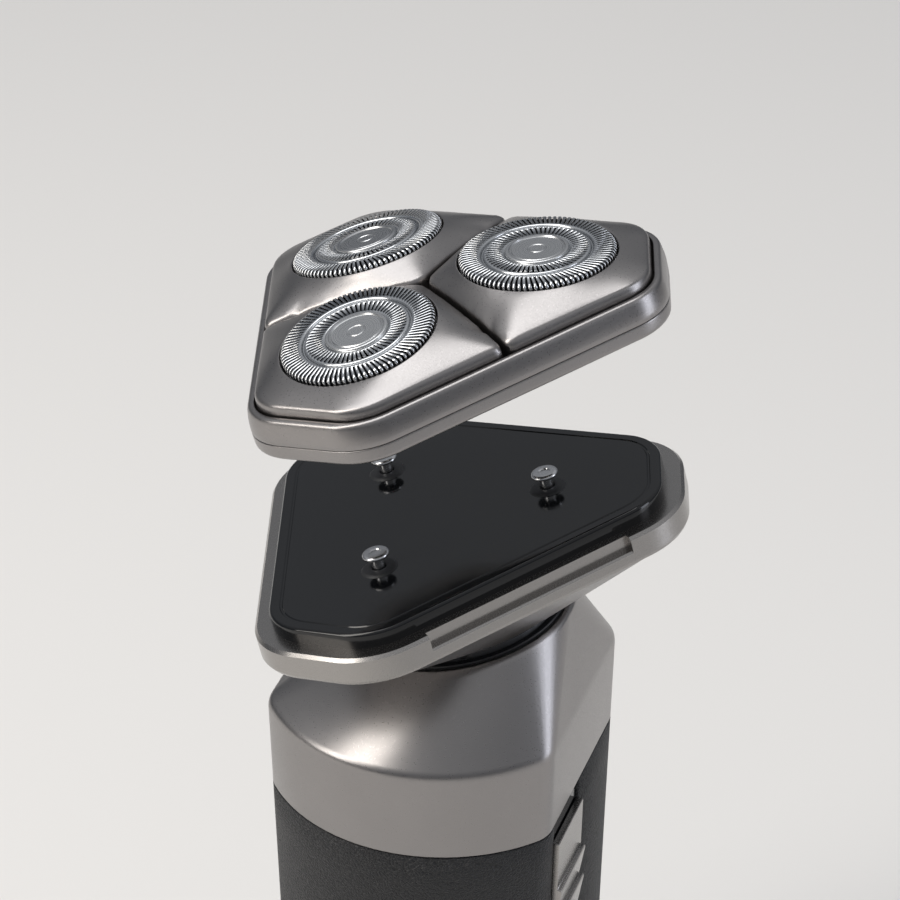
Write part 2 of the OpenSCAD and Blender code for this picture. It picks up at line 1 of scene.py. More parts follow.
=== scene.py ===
import json
import math
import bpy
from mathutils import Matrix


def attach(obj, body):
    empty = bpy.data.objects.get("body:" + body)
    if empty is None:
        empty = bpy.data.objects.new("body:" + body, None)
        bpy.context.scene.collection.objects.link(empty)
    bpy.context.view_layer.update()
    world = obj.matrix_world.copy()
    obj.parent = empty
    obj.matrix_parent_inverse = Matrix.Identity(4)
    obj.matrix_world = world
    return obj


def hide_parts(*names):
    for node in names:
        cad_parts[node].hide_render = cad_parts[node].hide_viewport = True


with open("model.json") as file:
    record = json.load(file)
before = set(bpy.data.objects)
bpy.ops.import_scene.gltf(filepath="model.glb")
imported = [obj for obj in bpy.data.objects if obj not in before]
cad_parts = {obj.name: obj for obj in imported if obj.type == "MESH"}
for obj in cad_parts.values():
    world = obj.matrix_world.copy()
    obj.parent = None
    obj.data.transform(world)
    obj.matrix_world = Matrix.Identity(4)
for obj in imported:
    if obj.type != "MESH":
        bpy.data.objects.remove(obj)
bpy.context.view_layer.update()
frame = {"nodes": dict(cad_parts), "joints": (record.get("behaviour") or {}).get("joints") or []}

from types import SimpleNamespace

import bmesh
import bpy
from bpy.props import FloatProperty, IntProperty, PointerProperty, StringProperty
from mathutils import Matrix, Vector

bl_info = {
    "name": "Rotary shaver",
    "version": (1, 0, 0),
    "blender": (4, 5, 0),
    "location": "3D View > Sidebar > Shaver",
    "description": "Detailed pieces and finishes for a rotary electric shaver",
    "category": "Add Mesh",
}

MM = 0.001
JOINTS = {joint["name"]: joint for joint in frame["joints"]}
CUTTERS = (1, 2, 3)


# ---------------------------------------------------------------- places

def joint_axis(name):
    return Vector(JOINTS[name]["axis"]).normalized()


def joint_spot(name):
    return Vector(JOINTS[name]["pos_m"])


def placed(origin, y_axis, z_axis):
    """A matrix at origin whose Y and Z lie along the two given directions."""
    z = z_axis.normalized()
    x = y_axis.cross(z).normalized()
    y = z.cross(x)
    return Matrix.Translation(origin) @ Matrix((x, y, z)).transposed().to_4x4()


# the handle stands at the origin
HANDLE = Matrix.Identity(4)
NECK = placed(joint_spot("neck_swivel"), joint_axis("head_tilt_front"), joint_axis("neck_swivel"))
HEAD = placed(joint_spot("lock_turn"), joint_axis("head_tilt_front"), joint_axis("neck_swivel"))


def pad_place(k):
    """The head's frame turned so that cutter k lies along +X."""
    return placed(joint_spot("lock_turn"), joint_axis(f"pad_{k}_flex"), joint_axis("neck_swivel"))


def cutter_place(k):
    """The centre of cutter k's face, with Z out of the face."""
    spin = f"cutter_{k}_spin"
    return placed(joint_spot(spin), joint_axis(f"pad_{k}_flex"), joint_axis(spin))


def spindle_place(k):
    """The middle of spindle k, standing square on the deck."""
    return placed(joint_spot(f"spindle_{k}_spin"), joint_axis("head_tilt_front"),
                  joint_axis("neck_swivel"))


# ---------------------------------------------------------------- settings

def size(name, text, default):
    """A length given in millimetres, and kept in metres so that Blender shows it with its unit."""
    return FloatProperty(name=name, description=text, default=default * MM, min=0.0,
                         subtype="DISTANCE", unit="LENGTH", precision=4)


class ShaverSizes(bpy.types.PropertyGroup):
    """Sizes of the shown pieces: the solids' own, apart from the pads, the head's corners, the
    cutters' stand and the wrap."""

    collar_z: size("Collar edge", "Height of the collar's lower edge", 99.0)
    band_h: size("Band", "Height of the straight band round the collar", 15.6)
    body_r: size("Round side", "Radius of the handle's round sides", 28.5)
    body_y: size("Half depth", "Half depth between the handle's flat faces", 23.0)
    body_corner: size("Corner", "Radius between the flat and the round faces", 5.5)
    taper: FloatProperty(
        name="Taper", description="Taper of each side of the handle", default=math.radians(1.4),
        min=0.0, subtype="ANGLE", unit="ROTATION")
    wrap_t: size("Wrap", "Thickness of the leather wrap", 1.15)
    strip_w: size("Strip", "Width of the glossy front strip", 13.0)
    strip_x: size("Strip offset", "Distance of the strip from the flat face's middle", 7.5)
    mouth_r: size("Mouth", "Outer radius of the collar's mouth", 17.4)
    rim_long: size("Rim, long", "Distance from the axis to a long edge of the rim", 28.4)
    rim_short: size("Rim, short", "Distance from the axis to a short edge of the rim", 37.9)
    deck_z: size("Deck", "Height of the deck above the neck's centre", 17.6)
    deck_step: size("Deck step", "Height of the deck above the rim", 2.5)
    rim_h: size("Rim height", "Height of the rim's side face", 4.3)
    head_long: size("Head, long", "Distance from the axis to a long edge of the head", 26.7)
    head_short: size("Head, short", "Distance from the axis to a short edge of the head", 35.7)
    head_corner: size("Head corner", "Corner radius of the head's outline", 9.2)
    pad_inset: size("Pad inset", "Distance from the head's outline in to the pads", 1.8)
    pad_edge: size("Pad edge", "Height of the pads' outer edge above the head's underside", 8.0)
    stand: size("Stand", "Height of a cutter's face above its pad", 0.7)
    cutter_r: size("Cutter", "Radius of an outer cutter", 11.75)
    outer_slots: IntProperty(
        name="Outer slots", description="Slots in a cutter's outer track", default=90, min=12)
    inner_slots: IntProperty(
        name="Inner slots", description="Slots in a cutter's inner track", default=60, min=12)


def colour(name, text, default):
    return StringProperty(name=name, description=text, default=default)


class ShaverColours(bpy.types.PropertyGroup):
    """sRGB colours of the finishes."""

    titanium: colour("Titanium", "Blasted anodised shell", "#949190")
    silver: colour("Silver", "Light anodised rim", "#a19e9b")
    disc: colour("Disc", "Turned centre disc", "#c3c4c5")
    chrome: colour("Chrome", "Ground cutter steel", "#d2d4d6")
    deck: colour("Deck", "Gloss black", "#08090b")
    leather: colour("Leather", "Dyed leather grip", "#121317")
    rubber: colour("Rubber", "Foot", "#1b1b1c")
    acetal: colour("Acetal", "Gears and couplings", "#e4e1d8")
    floor: colour("Floor", "Pale ground", "#dddbd8")


def sizes():
    """The sizes as plain numbers: lengths in millimetres, the taper in radians, and counts."""
    group = bpy.context.scene.shaver_sizes
    values = {name: getattr(group, name) for name in group.__annotations__}
    for name in values:
        if group.bl_rna.properties[name].unit == "LENGTH":
            # single precision leaves stray digits, which rounding takes off
            values[name] = round(values[name] / MM, 4)
    return SimpleNamespace(**values)


def linear(code):
    """An sRGB hex value as linear red, green, blue and alpha."""
    parts = [int(code[i:i + 2], 16) / 255 for i in (1, 3, 5)]
    return tuple(c / 12.92 if c <= 0.04045 else ((c + 0.055) / 1.055) ** 2.4 for c in parts) + (1.0,)


def tint(name):
    return linear(getattr(bpy.context.scene.shaver_colours, name))


# ---------------------------------------------------------------- outlines

def polar(radius, degrees):
    return Vector((math.cos(math.radians(degrees)), math.sin(math.radians(degrees)))) * radius


def arc(centre, radius, start, stop, steps):
    """Points along an arc, both ends included, angles in degrees."""
    return [centre + polar(radius, start + (stop - start) * i / steps) for i in range(steps + 1)]


def grip_outline(z, inset=0.0):
    """The handle's section at height z: (point, normal angle) pairs, from the -Y flat round."""
    s = sizes()
    grow = (z - s.collar_z) * math.tan(s.taper) - inset
    half = s.body_y + grow - s.body_corner
    reach = s.body_r + grow - s.body_corner
    across = math.sqrt(reach ** 2 - half ** 2)
    turn = math.degrees(math.atan2(half, across))
    strip_gap = 0.05
    edge = s.strip_w / 2 + strip_gap
    slot = (-s.strip_x - edge, -s.strip_x + edge)
    corner_steps, side_steps = 8, 30
    points = []

    def corner(sx, sy, start, stop):
        centre = Vector((sx * across, sy * half))
        for i in range(corner_steps + 1):
            angle = start + (stop - start) * i / corner_steps
            points.append((centre + polar(s.body_corner, angle), angle))

    def side(start, stop):
        for i in range(1, side_steps):
            angle = start + (stop - start) * i / side_steps
            points.append((polar(reach + s.body_corner, angle), angle))

    for x in slot:
        points.append((Vector((x, -half - s.body_corner)), -90.0))
    corner(1, -1, -90, -turn)
    side(-turn, turn)
    corner(1, 1, turn, 90)
    corner(-1, 1, 90, 180 - turn)
    side(180 - turn, 180 + turn)
    corner(-1, -1, 180 + turn, 270)
    return points


def corner_centre(long, short, radius):
    """The centre of a six-sided outline's corner beside its +X short edge: (x, y)."""
    a, b = long - radius, short - radius
    return b, (a - b / 2) / math.sin(math.radians(60))


def hex_outline(long, short, radius, steps=10):
    """Six-sided outline with round corners, cutters towards the short edges.
    (point, normal angle) pairs, from the corner before cutter 1 round."""
    centre_x, centre_y = corner_centre(long, short, radius)
    points = []
    for k in range(3):
        middle = -90 + 120 * k
        for start, side in ((middle - 60, -1), (middle, 1)):
            centre = Vector((centre_x, side * centre_y))
            centre.rotate(Matrix.Rotation(math.radians(middle), 2))
            for i in range(steps + 1):
                angle = start + 60 * i / steps
                points.append((centre + polar(radius, angle), angle))
    return points


# ---------------------------------------------------------------- meshes

def soften(line, cuts, steps=4):
    """Rounds corners of a line of points: cuts gives each corner's size by its number."""
    out = []
    for i, point in enumerate(line):
        cut = cuts.get(i)
        if not cut or i in (0, len(line) - 1):
            out.append(point)
            continue
        before, after = line[i - 1] - point, line[i + 1] - point
        start = point + before.normalized() * min(cut, before.length * 0.49)
        stop = point + after.normalized() * min(cut, after.length * 0.49)
        for n in range(steps + 1):
            t = n / steps
            out.append(start * (1 - t) ** 2 + point * 2 * t * (1 - t) + stop * t ** 2)
    return out


def finish_piece(name, verts, faces, material, place, body, nodes, smooth, local=False):
    """A local piece keeps its own frame, so that its finish runs round its own axis."""
    mesh = bpy.data.meshes.new(name)
    mesh.from_pydata([tuple(Vector(v) * MM) for v in verts], [], faces)
    bm = bmesh.new()
    bm.from_mesh(mesh)
    bmesh.ops.remove_doubles(bm, verts=bm.verts, dist=2e-6)
    bmesh.ops.recalc_face_normals(bm, faces=bm.faces)
    if not local:
        bmesh.ops.transform(bm, matrix=place, verts=bm.verts)
    bm.to_mesh(mesh)
    bm.free()
    mesh.shade_smooth()
    mesh.set_sharp_from_angle(angle=math.radians(smooth))
    mesh.materials.append(material)
    piece = bpy.data.objects.new(name, mesh)
    bpy.context.scene.collection.objects.link(piece)
    if local:
        piece.matrix_world = place
    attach(piece, body)
    if nodes:
        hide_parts(*nodes)
    return piece


def grid(columns, closed_line=False, wrap=True, caps=(False, False), skip=None):
    """Vertices and faces of a skin over columns of equally many points."""
    rows = len(columns[0])
    verts = [p for column in columns for p in column]
    faces = []
    count = len(columns)
    for i in range(count if wrap else count - 1):
        n = (i + 1) % count
        for j in range(rows if closed_line else rows - 1):
            m = (j + 1) % rows
            if skip and skip(i, j):
                continue
            faces.append((i * rows + j, n * rows + j, n * rows + m, i * rows + m))
    if caps[0]:
        faces.append(tuple(i * rows for i in reversed(range(count))))
    if caps[1]:
        faces.append(tuple(i * rows + rows - 1 for i in range(count)))
    return verts, faces


def swept(outline, profile, cuts):
    """Columns that carry a profile of (inset, height) points round an outline."""
    columns = []
    for point, angle in outline:
        line = [Vector((*(point - polar(inset, angle)), z)) for inset, z in profile]
        columns.append(soften(line, cuts))
    return columns


def turned(profile, cuts=None, steps=96):
    """Columns of a turned piece from (radius, height) points."""
    columns = []
    for i in range(steps):
        way = polar(1, 360 * i / steps)
        line = [Vector((way.x * r, way.y * r, z)) for r, z in profile]
        columns.append(soften(line, cuts or {}, 3))
    return columns


def add_modifier(piece, kind, **settings):
    modifier = piece.modifiers.new(kind.title(), kind)
    for key, value in settings.items():
        setattr(modifier, key, value)


def ease(piece, width):
    """Rounds the sharp edges of a piece, width in millimetres."""
    add_modifier(piece, "WELD", merge_threshold=1e-6)
    add_modifier(piece, "BEVEL", width=width * MM, segments=2, limit_method="ANGLE",
                 angle_limit=math.radians(40), harden_normals=True)


# ---------------------------------------------------------------- materials

def add(tree, kind, inputs=None, **settings):
    """Adds a node: settings are its properties, inputs are values or sockets to link."""
    node = tree.nodes.new(kind)
    for key, value in settings.items():
        setattr(node, key, value)
    for key, value in (inputs or {}).items():
        if isinstance(value, bpy.types.NodeSocket):
            tree.links.new(value, node.inputs[key])
        else:
            node.inputs[key].default_value = value
    return node


def new_material(name, **values):
    """A material with its main shader's values: (material, tree, object coordinates)."""
    material = bpy.data.materials.new(name)
    material.use_nodes = True
    tree = material.node_tree
    for key, value in values.items():
        tree.nodes["Principled BSDF"].inputs[key.replace("_", " ")].default_value = value
    coords = add(tree, "ShaderNodeTexCoord")
    return material, tree, coords.outputs["Object"]


def per_mm(spacing):
    """Texture scale for a pattern that repeats every so many millimetres."""
    return 1 / (spacing * MM)


def shade(colour_value, factor):
    return tuple(min(1.0, c * factor) for c in colour_value[:3]) + (1.0,)


def lay_surface(tree, colours, roughness, relief):
    """Leads patterns to the main shader. colours is (pattern, first, second), roughness is
    (pattern, low, high) and relief is (pattern, depth in millimetres, strength)."""
    shader = tree.nodes["Principled BSDF"]
    pattern, first, second = colours
    blend = add(tree, "ShaderNodeMix", {"Factor": pattern, 6: first, 7: second}, data_type="RGBA")
    tree.links.new(blend.outputs[2], shader.inputs["Base Color"])
    pattern, low, high = roughness
    # a noise keeps mostly between 0.3 and 0.7, so that much is spread over the range
    span = add(tree, "ShaderNodeMapRange",
               {"Value": pattern, "From Min": 0.3, "From Max": 0.7, "To Min": low, "To Max": high})
    tree.links.new(span.outputs[0], shader.inputs["Roughness"])
    pattern, depth, strength = relief
    raised = add(tree, "ShaderNodeBump",
                 {"Height": pattern, "Distance": depth * MM, "Strength": strength})
    tree.links.new(raised.outputs[0], shader.inputs["Normal"])


def blasted_titanium_anodising():
    """Aluminium, bead blasted and anodised titanium grey: soft broad glints, no visible grain."""
    base = tint("titanium")
    material, tree, place = new_material("blasted titanium-grey anodising", Metallic=1.0)
    cloud = add(tree, "ShaderNodeTexNoise",
                {"Vector": place, "Scale": per_mm(9.0), "Detail": 2.0}).outputs["Fac"]
    # blasting grit is about 0.1 mm, drawn at 0.25 mm so that it shows
    grit = add(tree, "ShaderNodeTexNoise",
               {"Vector": place, "Scale": per_mm(0.25), "Detail": 2.0}).outputs["Fac"]
    lay_surface(tree, (cloud, shade(base, 0.96), shade(base, 1.05)), (grit, 0.27, 0.36),
                (grit, 0.003, 0.12))
    return material


def satin_silver_anodising():
    """Aluminium, brushed and anodised silver: a lighter, slightly streaky sheen."""
    base = tint("silver")
    material, tree, place = new_material("satin silver anodising", Metallic=1.0)
    # brushing lines about 0.15 mm apart, drawn at 0.3 mm so that they show, and drawn out
    drawn = add(tree, "ShaderNodeMapping", {"Vector": place, "Scale": (1.0, 1.0, 14.0)})
    lines = add(tree, "ShaderNodeTexNoise",
                {"Vector": drawn.outputs[0], "Scale": per_mm(0.3), "Detail": 4.0}).outputs["Fac"]
    lay_surface(tree, (lines, shade(base, 0.93), shade(base, 1.05)), (lines, 0.2, 0.3),
                (lines, 0.003, 0.4))
    return material


def ground_chrome_steel():
    """Cutter steel, ground flat and polished: bright, with fine grinding marks."""
    base = tint("chrome")
    material, tree, place = new_material("ground chrome steel", Metallic=1.0)
    drawn = add(tree, "ShaderNodeMapping", {"Vector": place, "Scale": (1.0, 9.0, 1.0)})
    marks = add(tree, "ShaderNodeTexNoise",
                {"Vector": drawn.outputs[0], "Scale": per_mm(0.35), "Detail": 5.0}).outputs["Fac"]
    lay_surface(tree, (marks, shade(base, 0.9), base), (marks, 0.12, 0.22), (marks, 0.002, 0.4))
    return material


def turned_aluminium():
    """Aluminium disc faced on a lathe: fine rings round its centre that catch a fan of light."""
    base = tint("disc")
    material, tree, place = new_material("turned aluminium", Metallic=1.0)
    radius = add(tree, "ShaderNodeVectorMath", {0: place, 1: (1.0, 1.0, 0.0)}, operation="MULTIPLY")
    length = add(tree, "ShaderNodeVectorMath", {0: radius.outputs[0]}, operation="LENGTH")
    # tool marks about 0.12 mm apart
    rings = add(tree, "ShaderNodeTexNoise",
                {"W": length.outputs["Value"], "Scale": per_mm(0.12), "Detail": 3.0},
                noise_dimensions="1D").outputs["Fac"]
    lay_surface(tree, (rings, shade(base, 0.9), shade(base, 1.12)), (rings, 0.2, 0.34),
                (rings, 0.006, 0.7))
    return material


def gloss_black_acrylic():
    """Acrylic, moulded and polished: deep black with a clear, nearly perfect gloss."""
    base = tint("deck")
    material, tree, place = new_material("polished black acrylic", IOR=1.49)
    haze = add(tree, "ShaderNodeTexNoise",
               {"Vector": place, "Scale": per_mm(14.0), "Detail": 3.0}).outputs["Fac"]
    ripple = add(tree, "ShaderNodeTexNoise",
                 {"Vector": place, "Scale": per_mm(5.0), "Detail": 1.0}).outputs["Fac"]
    lay_surface(tree, (haze, base, shade(base, 1.5)), (haze, 0.07, 0.14), (ripple, 0.01, 0.15))
    return material


def satin_black_plastic():
    """ABS moulded in a spark-eroded tool: an even satin black."""
    material, tree, place = new_material("spark-eroded black ABS", IOR=1.53)
    grain = add(tree, "ShaderNodeTexNoise",
                {"Vector": place, "Scale": per_mm(0.35), "Detail": 3.0}).outputs["Fac"]
    lay_surface(tree, (grain, linear("#17181a"), linear("#222326")), (grain, 0.42, 0.58),
                (grain, 0.02, 0.5))
    return material


def pebbled_leather():
    """Leather, embossed with a fine pebble grain and dyed: soft sheen on the grain, and painted shade
    that darkens the valleys between the grains.
    """
    base = tint("leather")
    material, tree, place = new_material(
        "pebbled dyed leather", IOR=1.5, Sheen_Weight=0.05, Sheen_Roughness=0.4)
    # grain cells about 0.6 mm across, wandered by a broader noise
    bend = add(tree, "ShaderNodeTexNoise", {"Vector": place, "Scale": per_mm(1.6), "Detail": 2.0})
    push = add(tree, "ShaderNodeVectorMath",
               {0: bend.outputs["Color"], 1: (0.0007, 0.0007, 0.0007)}, operation="MULTIPLY")
    moved = add(tree, "ShaderNodeVectorMath", {0: place, 1: push.outputs[0]}).outputs[0]
    cells = add(tree, "ShaderNodeTexVoronoi", {"Vector": moved, "Scale": per_mm(0.62)},
                feature="DISTANCE_TO_EDGE").outputs["Distance"]
    domes = add(tree, "ShaderNodeMapRange",
                {"Value": cells, "From Min": 0.0, "From Max": 0.22, "To Min": 0.0, "To Max": 1.0},
                interpolation_type="SMOOTHSTEP").outputs[0]
    fine = add(tree, "ShaderNodeTexNoise",
               {"Vector": place, "Scale": per_mm(0.22), "Detail": 3.0}).outputs["Fac"]
    grain = add(tree, "ShaderNodeMath", {0: fine, 1: 0.25, 2: domes},
                operation="MULTIPLY_ADD").outputs[0]
    patches = add(tree, "ShaderNodeTexNoise",
                  {"Vector": place, "Scale": per_mm(12.0), "Detail": 3.0}).outputs["Fac"]
    worn = add(tree, "ShaderNodeMix",
               {"Factor": patches, 6: shade(base, 0.85), 7: shade(base, 1.2)},
               data_type="RGBA").outputs[2]
    # the grain's valleys take 0.4 of the leather's colour: painted shade in the recesses between the
    # grains
    lay_surface(tree, (domes, shade(base, 0.4), worn), (fine, 0.42, 0.6), (grain, 0.12, 0.8))
    return material


def moulded_rubber():
    """Rubber, moulded in a blasted tool: dull black with a fine tooth."""
    base = tint("rubber")
    material, tree, place = new_material("moulded black rubber", IOR=1.52)
    tooth = add(tree, "ShaderNodeTexNoise",
                {"Vector": place, "Scale": per_mm(0.4), "Detail": 4.0}).outputs["Fac"]
    lay_surface(tree, (tooth, shade(base, 0.8), shade(base, 1.4)), (tooth, 0.7, 0.85),
                (tooth, 0.03, 0.6))
    return material


def moulded_acetal():
    """Acetal, injection moulded: waxy off-white with faint flow lines."""
    base = tint("acetal")
    material, tree, place = new_material(
        "moulded acetal", IOR=1.48, Subsurface_Weight=0.05, Subsurface_Scale=0.5 * MM)
    flow = add(tree, "ShaderNodeTexNoise",
               {"Vector": place, "Scale": per_mm(3.0), "Detail": 3.0}).outputs["Fac"]
    skin = add(tree, "ShaderNodeTexNoise",
               {"Vector": place, "Scale": per_mm(0.5), "Detail": 2.0}).outputs["Fac"]
    lay_surface(tree, (flow, shade(base, 0.9), base), (flow, 0.3, 0.42), (skin, 0.004, 0.4))
    return material


def turned_steel():
    """Steel bar, turned and burnished: bright with fine tool marks."""
    material, tree, place = new_material("burnished turned steel", Metallic=1.0)
    drawn = add(tree, "ShaderNodeMapping", {"Vector": place, "Scale": (1.0, 1.0, 5.0)})
    marks = add(tree, "ShaderNodeTexNoise",
                {"Vector": drawn.outputs[0], "Scale": per_mm(0.2), "Detail": 3.0}).outputs["Fac"]
    lay_surface(tree, (marks, linear("#b9babc"), linear("#dcdcdd")), (marks, 0.16, 0.28),
                (marks, 0.003, 0.4))
    return material


def plain_part(name, code, rough, ior=1.5, metallic=0.0, spacing=0.5):
    """A moulded or wound part inside the case: its own colour with a fine mottle."""
    base = linear(code)
    material, tree, place = new_material(name, IOR=ior, Metallic=metallic)
    mottle = add(tree, "ShaderNodeTexNoise",
                 {"Vector": place, "Scale": per_mm(spacing), "Detail": 3.0}).outputs["Fac"]
    lay_surface(tree, (mottle, shade(base, 0.85), shade(base, 1.1)),
                (mottle, rough - 0.06, rough + 0.06), (mottle, 0.01, 0.4))
    return material


MATERIALS = {}


def finish(key):
    """Each material is made once and shared."""
    makers = {
        "titanium": blasted_titanium_anodising,
        "silver": satin_silver_anodising,
        "chrome": ground_chrome_steel,
        "turned": turned_aluminium,
        "gloss": gloss_black_acrylic,
        "satin": satin_black_plastic,
        "leather": pebbled_leather,
        "rubber": moulded_rubber,
        "acetal": moulded_acetal,
        "steel": turned_steel,
        # painted shade: the inner cutters' steel is coloured near black so that the outer cutters' slots
        # look shadowed
        "steel_painted_dark": lambda: plain_part("steel painted dark for slot shade", "#2b2c30", 0.34, 1.5, 1.0, 0.3),
        "copper": lambda: plain_part("enamelled copper winding", "#b5642f", 0.35, 1.5, 1.0, 0.3),
        "board": lambda: plain_part("solder-masked circuit board", "#1c5a38", 0.35),
        "sleeve": lambda: plain_part("heat-shrunk cell sleeve", "#2a6291", 0.3, 1.57),
        "lens": lambda: plain_part("frosted polycarbonate", "#dfe7ea", 0.28, 1.58),
        "knob": lambda: plain_part("moulded grey nylon", "#85878a", 0.42, 1.53),
    }
    if key not in MATERIALS:
        MATERIALS[key] = makers[key]()
    return MATERIALS[key]


def dress(node, key, edge=0.0):
    """Gives a carried-over solid its finish, and rounds its edges by so many millimetres."""
    solid = frame["nodes"][node]
    solid.data.materials.clear()
    solid.data.materials.append(finish(key))
    if edge:
        ease(solid, edge)


# ---------------------------------------------------------------- head

def make_outer_cutter(k):
    """A slotted cutter: two tracks of slots with a plain ring between them, and slotted walls."""
    s = sizes()
    edge = 0.7
    wall = s.cutter_r
    # a bar takes this share of each pitch, and leans by this many degrees per millimetre outward
    bar_share, skew = 0.56, 1.2
    tracks = []

    def track(slots, line, open_rows):
        # line is (radius, height) from the inside out; open_rows are the rows that slots cut
        verts, faces = [], []
        step = 360 / slots
        rows = len(line)
        for i in range(slots):
            for part in (0.0, bar_share):
                for j, (r, z) in enumerate(line):
                    spot = polar(r, (i + part) * step + skew * (r - line[0][0]))
                    verts.append(Vector((spot.x, spot.y, z)))
        count = slots * 2
        for i in range(count):
            n = (i + 1) % count
            for j in range(rows - 1):
                if i % 2 and open_rows[0] <= j < open_rows[1]:
                    continue
                faces.append((i * rows + j, n * rows + j, n * rows + j + 1, i * rows + j + 1))
        tracks.append((verts, faces))

    bend = [(wall - edge + edge * math.sin(math.radians(a)), -edge + edge * math.cos(math.radians(a)))
            for a in (0, 22.5, 45, 67.5, 90)]
    outer = [(8.3, -0.42), (8.45, -0.05), (8.6, 0.0), (8.95, 0.0)] + bend
    outer += [(wall, -1.5), (wall, -1.9), (wall, -4.35)]
    track(s.outer_slots, outer, (3, 9))
    inner = [(4.5, -0.12), (4.9, -0.12), (5.05, 0.0), (5.35, 0.0), (7.55, 0.0), (7.8, 0.0),
             (7.95, -0.05), (8.1, -0.42)]
    track(s.inner_slots, inner, (3, 4))
    ring = turned([(8.05, -0.44), (8.35, -0.44)], steps=90)
    tracks.append(grid(ring))
    verts, faces = [], []
    for v, f in tracks:
        base = len(verts)
        verts += v
        faces += [tuple(base + n for n in face) for face in f]
    piece = finish_piece(f"slotted_cutter_{k}", verts, faces, finish("chrome"), cutter_place(k),
                         f"pad_{k}", [f"outer_cutter_{k}"], 50, True)
    sheet = 0.12
    add_modifier(piece, "SOLIDIFY", thickness=sheet * MM, offset=-1.0)


def make_cutter_cap(k):
    """The turned centre disc, with a plain raised border and a shallow ring groove."""
    profile = [(0.01, 0.2), (1.1, 0.2), (1.2, 0.12), (1.35, 0.12), (1.45, 0.2), (3.75, 0.2),
               (3.9, 0.08), (4.1, 0.08), (4.25, 0.3), (4.65, 0.3), (4.8, 0.15), (4.8, -0.4)]
    columns = turned(profile, {9: 0.1, 10: 0.1})
    verts, faces = grid(columns, caps=(True, False))
    finish_piece(f"centre_disc_{k}", verts, faces, finish("turned"), cutter_place(k),
                 f"pad_{k}", [f"cutter_cap_{k}"], 30, True)


def crossing(origin, way, outline):
    """Where a ray from origin leaves a closed outline."""
    best = None
    for a, b in zip(outline, outline[1:] + outline[:1]):
        edge = b - a
        bottom = way.x * edge.y - way.y * edge.x
        if abs(bottom) < 1e-9:
            continue
        gap = a - origin
        along = (gap.x * edge.y - gap.y * edge.x) / bottom
        share = (gap.x * way.y - gap.y * way.x) / bottom
        if along > 0 and -1e-6 <= share <= 1 + 1e-6 and (best is None or along < best):
            best = along
    return origin + way * best


def kite_outline():
    """One pad's outline with its cutter along +X: (point, height of its edge) pairs."""
    s = sizes()
    inset, gap, low, high = s.pad_inset, 0.4, s.pad_edge, s.pad_edge + 2.2
    long, short, radius = s.head_long - inset, s.head_short - inset, s.head_corner - inset
    centre_x, centre_y = corner_centre(long, short, radius)
    points = []
    for side in (-1, 1):
        beyond = polar(1, 60 * side)
        across = Vector((-beyond.y, beyond.x)) * side
        corner = beyond * long - across * gap
        inner = Vector((gap / math.sin(math.radians(60)), 0))
        half = [(inner + Vector((0.5, 0)), high), (inner + beyond * 1.2, high)]
        for share in (0.3, 0.6, 0.85):
            half.append((inner.lerp(corner, share), high + (low - high) * share ** 2))
        half += [(corner - beyond * 1.0, low + 0.1), (corner - beyond * 0.3 - across * 0.3, low),
                 (corner - across * 1.0, low)]
        centre = Vector((centre_x, side * centre_y))
        half += [(spot, low) for spot in arc(centre, radius, 60 * side, 0, 10)]
        points.append(half)
    return points[0] + list(reversed(points[1]))


def make_pad(k):
    """A domed kite-shaped pad with a soft edge and a round opening for its cutter."""
    s = sizes()
    pad_from_blade = pad_place(k).inverted() @ cutter_place(k)
    pad_from_blade.translation = pad_from_blade.translation / MM
    hole, lip, bottom = s.cutter_r + 0.3, -s.stand, 4.8
    outline = kite_outline()
    line_of = [spot for spot, _ in outline]
    middle = (pad_from_blade @ Vector((0, 0, -2))).xy
    # rays through every outline point keep its corners crisp, with even ones between
    angles = {round(math.degrees(math.atan2(*(p - middle).yx)) % 360, 3) for p in line_of}
    angles |= {a for a in range(0, 360, 3) if all(abs(a - b) > 0.8 for b in angles)}
    columns = []
    for angle in sorted(angles):
        ring = polar(hole, angle)
        inner = pad_from_blade @ Vector((*ring, lip))
        groove = pad_from_blade @ Vector((*(ring * 0.985), lip - 3.0))
        rim = crossing(middle, polar(1, angle), line_of)
        nearest = sorted(outline, key=lambda entry: (entry[0] - rim).length)[:2]
        gaps = [(entry[0] - rim).length + 1e-6 for entry in nearest]
        edge = (nearest[0][1] * gaps[1] + nearest[1][1] * gaps[0]) / (gaps[0] + gaps[1])
        outward = (rim - middle).normalized()
        reach = (rim - inner.xy).length
        swell = 0.035 * reach
        line = [groove, inner]
        for share in (0.2, 0.4, 0.6, 0.8):
            spot = inner.xy.lerp(rim, share)
            rise = 4 * swell * share * (1 - share)
            line.append(Vector((*spot, inner.z + (edge - inner.z) * share + rise)))
        line.append(Vector((*rim, edge)))
        line.append(Vector((*rim, bottom)))
        line.append(Vector((*(rim - outward * 1.2), bottom)))
        columns.append(soften(line, {1: 0.25, 6: 0.9, 7: 0.3}, 5))
    # even out the slope from ray to ray, most of all near the opening
    for row, rounds in ((7, 14), (8, 10), (9, 6), (10, 3)):
        for _ in range(rounds):
            spots = [column[row] for column in columns]
            for i, column in enumerate(columns):
                beside = (spots[i - 1] + spots[(i + 1) % len(spots)]) / 2
                column[row] = (spots[i] + beside) / 2
    verts, faces = grid(columns)
    finish_piece(f"domed_pad_{k}", verts, faces, finish("titanium"), pad_place(k),
                 f"pad_{k}", [f"pad_{k}"], 40)


